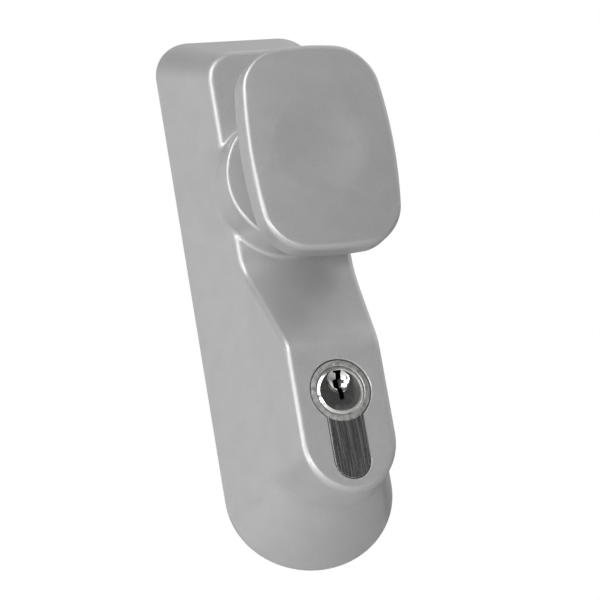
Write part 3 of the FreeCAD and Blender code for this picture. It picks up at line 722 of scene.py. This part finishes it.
def keyway_outline():
    """Zigzag slot: down its right side and back up its left, corners slightly rounded."""
    right = []
    left = []
    for low_x, high_x, low_z, high_z in KEYWAY:
        right += [(high_x, high_z), (high_x, low_z)]
        left += [(low_x, high_z), (low_x, low_z)]
    corners = right + left[::-1]
    tidy = [p for n, p in enumerate(corners) if p != corners[n - 1]]
    points = []
    for n, corner in enumerate(tidy):
        here = Vector(corner)
        before = Vector(tidy[n - 1])
        after = Vector(tidy[(n + 1) % len(tidy)])
        if abs((here - before).normalized().cross((after - here).normalized())) < 0.01:
            continue
        reach = min(KEYWAY_ROUND, (before - here).length * 0.45, (after - here).length * 0.45)
        start = here + (before - here).normalized() * reach
        end = here + (after - here).normalized() * reach
        for t in (0, 0.25, 0.5, 0.75, 1):
            spot = start.lerp(here, t).lerp(here.lerp(end, t), t)
            points.append((spot.x, LOCK_Z + spot.y))
    return points[::-1]


def make_plug():
    edge = 0.1
    plug = rod("cylinder_plug_turned", [
        (TAIL_RADIUS - 0.2, CYLINDER_BACK), (TAIL_RADIUS, CYLINDER_BACK + 0.2),
        (TAIL_RADIUS, FIXING_DEPTH - CAM_HALF),
        (CAM_SEAT_RADIUS, FIXING_DEPTH - CAM_HALF + STEP), (CAM_SEAT_RADIUS, CAM_FRONT),
        (PLUG_RADIUS, CAM_FRONT + STEP), (PLUG_RADIUS, CYLINDER_FACE - RIM_LENGTH),
        (RIM_RADIUS, CYLINDER_FACE - RIM_LENGTH + STEP), (RIM_RADIUS, CYLINDER_FACE - RIM_CHAMFER),
        (PLUG_FACE_RADIUS + edge, CYLINDER_FACE - 0.7 * edge),
        (PLUG_FACE_RADIUS - edge, CYLINDER_FACE)], z=LOCK_Z, steps=128)
    slot = stacked("keyway_cut", [(keyway_outline(), CAM_FRONT + 0.8),
                                  (keyway_outline(), CYLINDER_FACE + 2.0)])
    entry = ball_cutter("entry_cut", ENTRY_BALL, ENTRY_CENTRE)
    pins = [mesh_cutter(f"plug_pin_bore_{n}", PIN_BORE_RADIUS, (0, -depth, LOCK_Z - 8.0),
                        (0, -depth, LOCK_Z - 2.5), 40) for n, depth in enumerate(PIN_DEPTHS)]
    carve(plug, [entry, slot] + pins)
    return shade(plug)


# ---- turned pieces and the back plate

def plan_points(plan, inset, steps=40):
    """Points round a plan outline that is drawn in by inset."""
    half_width, top, corner, side_end, drop = plan
    half_width, top, corner, drop = half_width - inset, top - inset, corner - inset, drop - inset
    points = []
    for side, start in ((1, 0.0), (-1, pi / 2)):
        for t in np.linspace(start, start + pi / 2, steps // 2):
            points.append((side * (half_width - corner) + corner * cos(t),
                           top - corner + corner * sin(t)))
    for t in np.linspace(pi, 2 * pi, 2 * steps):
        points.append((half_width * cos(t), side_end + drop * sin(t)))
    return points


def make_back_plate():
    edge = 0.15
    inset = RIM_WALL + PLATE_GAP
    plate = stacked("back_plate_pressed", [
        (plan_points(BASE_OUTLINE, inset + edge), 0.0), (plan_points(BASE_OUTLINE, inset), edge),
        (plan_points(BASE_OUTLINE, inset), PLATE - edge),
        (plan_points(BASE_OUTLINE, inset + edge), PLATE)])
    through = (-1.0, PLATE + 1.0)
    cutters = [stacked("plate_euro", [(euro_outline(-PLATE_EURO_GAP), depth) for depth in through])]
    rounds = [(PLATE_BUSH_RADIUS, 0.0, 0.0)]
    rounds += [(SCREW_RADIUS, x, z) for x, z in SCREW_PLACES]
    rounds += [(POST_SHANK_RADIUS, x, z) for x, z in POST_PLACES]
    rounds += [(STUD_SHANK_RADIUS, x, z) for x, z in STUD_PLACES]
    for n, (radius, x, z) in enumerate(rounds):
        cutters.append(rod(f"plate_hole_{n}", [(radius, depth) for depth in through], x, z))
    for n, (x, z) in enumerate(SCREW_PLACES):
        cone = [(2 * SCREW_RADIUS + 1.0, -1.0), (SCREW_RADIUS - 0.05, SCREW_RADIUS + 0.05)]
        cutters.append(rod(f"plate_sink_{n}", cone, x, z))
    return shade(carve(plate, cutters))


def make_screws():
    screws = []
    for n, (x, z) in enumerate(SCREW_PLACES):
        screw = rod(f"screw_{n}", [(2 * SCREW_RADIUS - 0.15, 0.0), (2 * SCREW_RADIUS - 0.03, 0.12),
                                   (SCREW_RADIUS, SCREW_RADIUS), (SCREW_RADIUS, SCREW_TIP - 0.5),
                                   (SCREW_RADIUS - 0.5, SCREW_TIP)], x, z)
        cross = []
        for arm_x, arm_z in ((CROSS_ARM, CROSS_HALF_WIDTH), (CROSS_HALF_WIDTH, CROSS_ARM)):
            end_x, end_z = arm_x * CROSS_TAPER, arm_z * CROSS_TAPER
            mouth = rectangle(x - arm_x, x + arm_x, z - arm_z, z + arm_z)
            floor = rectangle(x - end_x, x + end_x, z - end_z, z + end_z)
            cross.append(stacked(f"cross_{n}", [(mouth, -0.2), (floor, CROSS_DEPTH)]))
        screws.append(carve(screw, cross))
    return shade(joined("back_plate_screws_turned", screws))


def make_posts():
    posts = []
    for n, (x, z) in enumerate(POST_PLACES):
        posts.append(lathe(f"post_{n}", [
            (POST_THREAD_RADIUS + 0.5, 0.0), (POST_SHANK_RADIUS - 0.1, 0.0),
            (POST_SHANK_RADIUS, 0.1), (POST_SHANK_RADIUS, PLATE),
            (POST_RADIUS, PLATE), (POST_RADIUS, POST_TOP - 0.3),
            (POST_RADIUS - 0.3, POST_TOP), (POST_THREAD_RADIUS + 0.2, POST_TOP),
            (POST_THREAD_RADIUS, POST_TOP - 0.2), (POST_THREAD_RADIUS, 0.5)], x, z, 96))
    return shade(joined("fixing_posts_turned", posts))


def make_studs():
    studs = []
    seat = SLIDE_FRONT + 0.25
    for n, (x, z) in enumerate(STUD_PLACES):
        studs.append(rod(f"stud_{n}", [
            (STUD_SHANK_RADIUS, 0.0), (STUD_SHANK_RADIUS, PLATE), (STUD_RADIUS, PLATE + STEP),
            (STUD_RADIUS, seat), (STUD_RADIUS * 1.9, seat + STEP),
            (STUD_RADIUS * 1.9, seat + 0.7), (STUD_RADIUS * 1.5, seat + STUD_HEAD)], x, z, 64))
    return shade(joined("slide_guide_studs_turned", studs))


def make_shaft_bush():
    bore = SHAFT_RADIUS + RUNNING_GAP
    front = BOSS_DEPTH + BUSH_FLANGE
    edge = 0.15
    return shade(lathe("shaft_bush_turned", [
        (bore, BUSH_START + edge), (bore + edge, BUSH_START), (BUSH_BORE - edge, BUSH_START),
        (BUSH_BORE, BUSH_START + edge), (BUSH_BORE, BOSS_DEPTH),
        (BUSH_FLANGE_RADIUS, BOSS_DEPTH), (BUSH_FLANGE_RADIUS, front - edge),
        (BUSH_FLANGE_RADIUS - edge, front), (bore + edge, front), (bore, front - edge)]))


def make_follower_bush():
    return shade(lathe("follower_bush_turned", ring_profile(
        PLATE_BUSH_RADIUS, JOURNAL_RADIUS + RUNNING_GAP, 0.0, PLATE)))


def turned_square(side, corner_radius, steps=96):
    """Outline of a square whose corners are turned down to a radius."""
    points = []
    for t in np.arange(steps) * 2 * pi / steps:
        flat = side / 2 / max(abs(cos(t)), abs(sin(t)))
        reach = min(flat, corner_radius)
        points.append((reach * cos(t), reach * sin(t)))
    return points


def make_follower():
    hub = stacked("follower_turned", [
        (circle_outline(JOURNAL_RADIUS - 0.15, steps=96), 0.1),
        (circle_outline(JOURNAL_RADIUS, steps=96), 0.25),
        (circle_outline(JOURNAL_RADIUS, steps=96), PLATE + 0.05),
        (turned_square(HUB_SQUARE, HUB_CORNER_RADIUS), PLATE + 0.05 + STEP),
        (turned_square(HUB_SQUARE, HUB_CORNER_RADIUS), HUB_FRONT - 0.2),
        (turned_square(HUB_SQUARE - 0.4, HUB_CORNER_RADIUS - 0.2), HUB_FRONT)])
    half = SPINDLE_SQUARE / 2
    hole = stacked("spindle_hole", [(rectangle(-half, half, -half, half), 0.0),
                                    (rectangle(-half, half, -half, half), SPINDLE_FRONT)])
    pin = mesh_cutter("pin_hole", SPINDLE_PIN_RADIUS, (-7, -SPINDLE_PIN_DEPTH, 0),
                      (7, -SPINDLE_PIN_DEPTH, 0), 48)
    return shade(carve(hub, [hole, pin]))


def make_plug_clip():
    """Spring ring with an open mouth at its foot."""
    outline = []
    for radius, turn in ((CLIP_OUTER, 1), (CLIP_INNER, -1)):
        start = np.arcsin(CLIP_HALF_MOUTH / radius)
        sweep = np.linspace(-pi / 2 + start, 3 * pi / 2 - start, 96)[::turn]
        outline += [(radius * cos(t), LOCK_Z + radius * sin(t)) for t in sweep]
    return shade(stacked("plug_circlip_pressed", [(outline, CLIP_START), (outline, CLIP_END)]))


# ---- materials

def material(name):
    made = bpy.data.materials.new(name)
    made.use_nodes = True
    shader = made.node_tree.nodes["Principled BSDF"]
    return made, made.node_tree, shader


def object_place(tree, scale=(1.0, 1.0, 1.0)):
    """Object coordinates in metres, stretched per axis."""
    place = tree.nodes.new("ShaderNodeTexCoord")
    mapping = tree.nodes.new("ShaderNodeMapping")
    mapping.inputs["Scale"].default_value = scale
    tree.links.new(place.outputs["Object"], mapping.inputs["Vector"])
    return mapping.outputs["Vector"]


def noise(tree, place, scale, detail=2.0):
    made = tree.nodes.new("ShaderNodeTexNoise")
    made.inputs["Scale"].default_value = scale
    made.inputs["Detail"].default_value = detail
    tree.links.new(place, made.inputs["Vector"])
    return made.outputs["Fac"]


def cells(tree, place, scale):
    """A random grey for each small cell."""
    made = tree.nodes.new("ShaderNodeTexVoronoi")
    made.inputs["Scale"].default_value = scale
    tree.links.new(place, made.inputs["Vector"])
    split = tree.nodes.new("ShaderNodeSeparateColor")
    tree.links.new(made.outputs["Color"], split.inputs["Color"])
    return split.outputs["Red"]


def spread(tree, value, low, high, start=0.3, end=0.7):
    """A value from low to high as the texture goes from start to end."""
    made = tree.nodes.new("ShaderNodeMapRange")
    made.inputs["From Min"].default_value = start
    made.inputs["From Max"].default_value = end
    made.inputs["To Min"].default_value = low
    made.inputs["To Max"].default_value = high
    tree.links.new(value, made.inputs["Value"])
    return made.outputs["Result"]


def two_tones(tree, value, first, second):
    ramp = tree.nodes.new("ShaderNodeValToRGB")
    ramp.color_ramp.elements[0].position = 0.25
    ramp.color_ramp.elements[0].color = (*first, 1)
    ramp.color_ramp.elements[1].position = 0.75
    ramp.color_ramp.elements[1].color = (*second, 1)
    tree.links.new(value, ramp.inputs["Fac"])
    return ramp.outputs["Color"]


def blend_values(tree, first, second, share):
    made = tree.nodes.new("ShaderNodeMix")
    made.inputs["Factor"].default_value = share
    tree.links.new(first, made.inputs["A"])
    tree.links.new(second, made.inputs["B"])
    return made.outputs["Result"]


def bump(tree, shader, value, distance, strength=1.0):
    made = tree.nodes.new("ShaderNodeBump")
    made.inputs["Distance"].default_value = distance
    made.inputs["Strength"].default_value = strength
    tree.links.new(value, made.inputs["Height"])
    tree.links.new(made.outputs["Normal"], shader.inputs["Normal"])


def silver_paint(name, tone, roughness):
    """Stoved aluminium-flake paint: fine flake, a little orange peel and a smooth clear skin."""
    made, tree, shader = material(name)
    place = object_place(tree)
    flake = cells(tree, place, scale=5200.0)
    cloud = noise(tree, place, scale=160.0, detail=3.0)
    mixed = blend_values(tree, flake, cloud, share=0.55)
    dark = tuple(c * 0.93 for c in tone)
    light = tuple(c * 1.07 for c in tone)
    tree.links.new(two_tones(tree, mixed, dark, light), shader.inputs["Base Color"])
    rough = spread(tree, flake, roughness - 0.05, roughness + 0.07)
    tree.links.new(rough, shader.inputs["Roughness"])
    shader.inputs["Metallic"].default_value = 0.45
    shader.inputs["Coat Weight"].default_value = 0.75
    shader.inputs["Coat Roughness"].default_value = 0.13
    peel = noise(tree, place, scale=420.0, detail=1.0)
    bump(tree, shader, peel, distance=0.00002, strength=0.6)
    return made


def drawn_metal(name, tone, roughness, grain, bump_depth=0.000015):
    """Bare or plated metal whose fine lines run along the axis with the smallest grain scale."""
    made, tree, shader = material(name)
    fine = object_place(tree, grain)
    lines = noise(tree, fine, scale=1.0, detail=4.0)
    cloud = noise(tree, object_place(tree), scale=220.0, detail=2.0)
    mixed = blend_values(tree, lines, cloud, share=0.3)
    dark = tuple(c * 0.86 for c in tone)
    tree.links.new(two_tones(tree, mixed, dark, tone), shader.inputs["Base Color"])
    rough = spread(tree, lines, roughness * 0.75, roughness * 1.3)
    tree.links.new(rough, shader.inputs["Roughness"])
    shader.inputs["Metallic"].default_value = 1.0
    bump(tree, shader, lines, bump_depth, strength=0.7)
    return made


def nickel_body(name, tone):
    """Satin nickel with broached lines down the leg and a duller turned ring round the plug."""
    made, tree, shader = material(name)
    lines = noise(tree, object_place(tree, ALONG_Z), scale=1.0, detail=4.0)
    patches = noise(tree, object_place(tree), scale=900.0, detail=2.0)
    place = tree.nodes.new("ShaderNodeTexCoord").outputs["Object"]
    flat = tree.nodes.new("ShaderNodeMapping")
    flat.inputs["Location"].default_value = (0.0, 0.0, -LOCK_Z * MM)
    flat.inputs["Scale"].default_value = (1.0, 0.0, 1.0)
    tree.links.new(place, flat.inputs["Vector"])
    from_axis = tree.nodes.new("ShaderNodeVectorMath")
    from_axis.operation = "LENGTH"
    tree.links.new(flat.outputs["Vector"], from_axis.inputs[0])
    on_ring = spread(tree, from_axis.outputs["Value"], 1.0, 0.0,
                     (EURO_RADIUS - 0.1) * MM, (EURO_RADIUS + 0.2) * MM)
    mixed = blend_values(tree, lines, patches, share=0.3)
    dark = tuple(c * 0.5 for c in tone)
    tree.links.new(two_tones(tree, mixed, dark, tone), shader.inputs["Base Color"])
    polish = spread(tree, lines, 0.16, 0.34)
    matt = spread(tree, patches, 0.36, 0.6)
    rough = tree.nodes.new("ShaderNodeMix")
    tree.links.new(on_ring, rough.inputs["Factor"])
    tree.links.new(polish, rough.inputs["A"])
    tree.links.new(matt, rough.inputs["B"])
    tree.links.new(rough.outputs["Result"], shader.inputs["Roughness"])
    shader.inputs["Metallic"].default_value = 1.0
    bump(tree, shader, mixed, distance=0.00006)
    return made


# grain scales: the smallest number is the way that the lines run
EVEN = (900.0, 900.0, 900.0)
ALONG_Z = (2600.0, 2600.0, 60.0)
ALONG_Y = (1600.0, 60.0, 1600.0)

looks = {
    "silver_paint": silver_paint("silver_paint_cover", (0.46, 0.46, 0.465), 0.42),
    "silver_paint_knob": silver_paint("silver_paint_knob", (0.43, 0.43, 0.435), 0.40),
    "zinc_plate": drawn_metal("zinc_plate", (0.62, 0.63, 0.66), 0.34, EVEN),
    "zinc_screws": drawn_metal("zinc_screws", (0.68, 0.69, 0.71), 0.28, EVEN),
    "bronze": drawn_metal("bronze", (0.60, 0.36, 0.16), 0.32, EVEN),
    "nickel_body": nickel_body("nickel_body", (0.76, 0.755, 0.74)),
    "polished_plug": drawn_metal("polished_plug", (0.76, 0.755, 0.745), 0.14, EVEN, 0.000004),
    "pin_brass": drawn_metal("pin_brass", (0.78, 0.57, 0.22), 0.22, EVEN),
    "spring_steel": drawn_metal("spring_steel", (0.42, 0.42, 0.44), 0.25, EVEN),
    "black_steel": drawn_metal("black_steel", (0.05, 0.05, 0.055), 0.42, EVEN),
    "bright_steel": drawn_metal("bright_steel", (0.60, 0.60, 0.61), 0.24, EVEN),
    "spindle_steel": drawn_metal("spindle_steel", (0.52, 0.52, 0.54), 0.3, ALONG_Y),
}


def paint_cad_nodes():
    """Every CAD node takes the look of its slot in the record."""
    for row in frame["record"]["subparts"]:
        piece = frame["nodes"][row["node"]]
        piece.data.materials.clear()
        piece.data.materials.append(looks[row["material_slot"]])


def place_piece(piece, body, slot, *nodes):
    piece.data.materials.clear()
    piece.data.materials.append(looks[slot])
    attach(piece, body)
    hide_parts(*nodes)


# ---- camera, lights and floor

CAMERA_AZIMUTH = radians(-19.487)
CAMERA_ELEVATION = radians(-13.795)
CAMERA_ROLL = radians(-9.851)
CAMERA_DISTANCE = 0.7796
CAMERA_RIGHT = 0.011541
CAMERA_UP = -0.025221
CAMERA_LENS = 160.1

MIDDLE = (0.0, -0.02, -0.025)
FLOOR_HALF = 3.0
FLOOR_LEVEL = -0.42

# light from all round, and glows as (direction, strength)
AMBIENT = 0.06
GLOWS = [((1, 0, 1), 0.8), ((-1, 1, 0), 0.55), ((1, -0.2, 0), 0.2), ((0.3, 0.7, 0.6), 0.35)]

# (name, place, width, height) in metres, and power in watts
SOFTBOXES = [
    ("front_high", (-0.4, -0.8, 0.7), 0.6, 0.5, 5.05),
    ("front_left", (-0.75, -0.75, 0.3), 0.6, 0.5, 3.0),
    ("front_low", (-0.5, -0.9, -0.2), 0.5, 0.2, 2.7),
    ("back", (0.15, 1.1, 0.2), 0.5, 0.5, 1.0),
    ("left_strip", (-0.92, -0.38, -0.18), 0.2, 0.66, 3.5),
]


def add_camera():
    """Camera to the left of the object and below it, rolled a little."""
    out, rise = cos(CAMERA_ELEVATION), sin(CAMERA_ELEVATION)
    back = Vector((sin(CAMERA_AZIMUTH) * out, -cos(CAMERA_AZIMUTH) * out, rise))
    right = Vector((0, 0, 1)).cross(back).normalized()
    up = back.cross(right)
    turned_right = cos(CAMERA_ROLL) * right + sin(CAMERA_ROLL) * up
    turned_up = cos(CAMERA_ROLL) * up - sin(CAMERA_ROLL) * right
    place = back * CAMERA_DISTANCE + turned_right * CAMERA_RIGHT + turned_up * CAMERA_UP
    data = bpy.data.cameras.new("camera")
    data.lens = CAMERA_LENS
    data.clip_start = 0.01
    camera = bpy.data.objects.new("camera", data)
    axes = Matrix((turned_right, turned_up, back)).transposed()
    camera.matrix_world = Matrix.Translation(place) @ axes.to_4x4()
    bpy.context.scene.collection.objects.link(camera)
    bpy.context.scene.camera = camera


def add_softbox(name, place, width, height, power):
    """Soft panel aimed at the middle of the object. The camera doesn't see the panel itself."""
    data = bpy.data.lights.new(name, "AREA")
    data.shape = "RECTANGLE"
    data.size = width
    data.size_y = height
    data.energy = power
    light = bpy.data.objects.new(name, data)
    light.location = place
    aim = Vector(MIDDLE) - Vector(place)
    light.rotation_euler = aim.to_track_quat("-Z", "Y").to_euler()
    light.visible_camera = False
    bpy.context.scene.collection.objects.link(light)


def add_glow(tree, place, direction, strength):
    """Broad soft glow in the studio round a direction."""
    towards = tree.nodes.new("ShaderNodeVectorMath")
    towards.operation = "DOT_PRODUCT"
    towards.inputs[1].default_value = Vector(direction).normalized()
    tree.links.new(place, towards.inputs[0])
    made = tree.nodes.new("ShaderNodeMapRange")
    made.interpolation_type = "SMOOTHSTEP"
    made.inputs["From Min"].default_value = 0.55
    made.inputs["To Max"].default_value = strength
    tree.links.new(towards.outputs["Value"], made.inputs["Value"])
    return made.outputs["Result"]


def add_world(ambient, glows):
    """White studio as the camera sees it, with a dim surround and soft glows for the lighting."""
    world = bpy.data.worlds.new("studio")
    world.use_nodes = True
    bpy.context.scene.world = world
    tree = world.node_tree
    sky = tree.nodes["Background"]
    sky.inputs["Color"].default_value = (1, 1, 1, 1)
    place = tree.nodes.new("ShaderNodeTexCoord").outputs["Generated"]
    total = None
    for direction, strength in glows:
        glow = add_glow(tree, place, direction, strength)
        add = tree.nodes.new("ShaderNodeMath")
        add.inputs[0].default_value = ambient
        if total:
            tree.links.new(total, add.inputs[0])
        tree.links.new(glow, add.inputs[1])
        total = add.outputs["Value"]
    tree.links.new(total, sky.inputs["Strength"])
    white = tree.nodes.new("ShaderNodeBackground")
    white.inputs["Color"].default_value = (1, 1, 1, 1)
    path = tree.nodes.new("ShaderNodeLightPath")
    mix = tree.nodes.new("ShaderNodeMixShader")
    tree.links.new(path.outputs["Is Camera Ray"], mix.inputs["Fac"])
    tree.links.new(sky.outputs["Background"], mix.inputs[1])
    tree.links.new(white.outputs["Background"], mix.inputs[2])
    tree.links.new(mix.outputs["Shader"], tree.nodes["World Output"].inputs["Surface"])


def add_floor():
    size, level = FLOOR_HALF, FLOOR_LEVEL
    corners = [(-size, -size, level), (size, -size, level),
               (size, size, level), (-size, size, level)]
    mesh = bpy.data.meshes.new("floor")
    mesh.from_pydata(corners, [], [(0, 1, 2, 3)])
    floor = bpy.data.objects.new("floor", mesh)
    bpy.context.scene.collection.objects.link(floor)
    made, tree, shader = material("floor_paper")
    cloud = noise(tree, object_place(tree), scale=6.0)
    tree.links.new(two_tones(tree, cloud, (0.72, 0.72, 0.72), (0.76, 0.76, 0.76)),
                   shader.inputs["Base Color"])
    shader.inputs["Roughness"].default_value = 0.8
    mesh.materials.append(made)


# ---- scene

# (function that makes the piece, body that it rides, slot, CAD node that it replaces)
PIECES = [
    (make_housing, "housing", "silver_paint", "housing"),
    (make_knob, "knob", "silver_paint_knob", "knob"),
    (make_cylinder_body, "housing", "nickel_body", "cylinder_body"),
    (make_plug, "cylinder_plug", "polished_plug", "cylinder_plug"),
    (make_plug_clip, "cylinder_plug", "black_steel", "plug_circlip"),
    (make_back_plate, "housing", "zinc_plate", "back_plate"),
    (make_screws, "housing", "zinc_screws", "back_plate_screws"),
    (make_posts, "housing", "zinc_screws", "fixing_posts"),
    (make_studs, "housing", "zinc_screws", "slide_guide_studs"),
    (make_shaft_bush, "housing", "bronze", "shaft_bush"),
    (make_follower_bush, "housing", "bronze", "follower_bush"),
    (make_follower, "follower", "bright_steel", "follower"),
]

add_camera()
add_world(AMBIENT, GLOWS)
add_floor()
for softbox in SOFTBOXES:
    add_softbox(*softbox)

paint_cad_nodes()
for make, body, slot, node in PIECES:
    place_piece(make(), body, slot, node)

bpy.context.scene.view_settings.view_transform = "Standard"
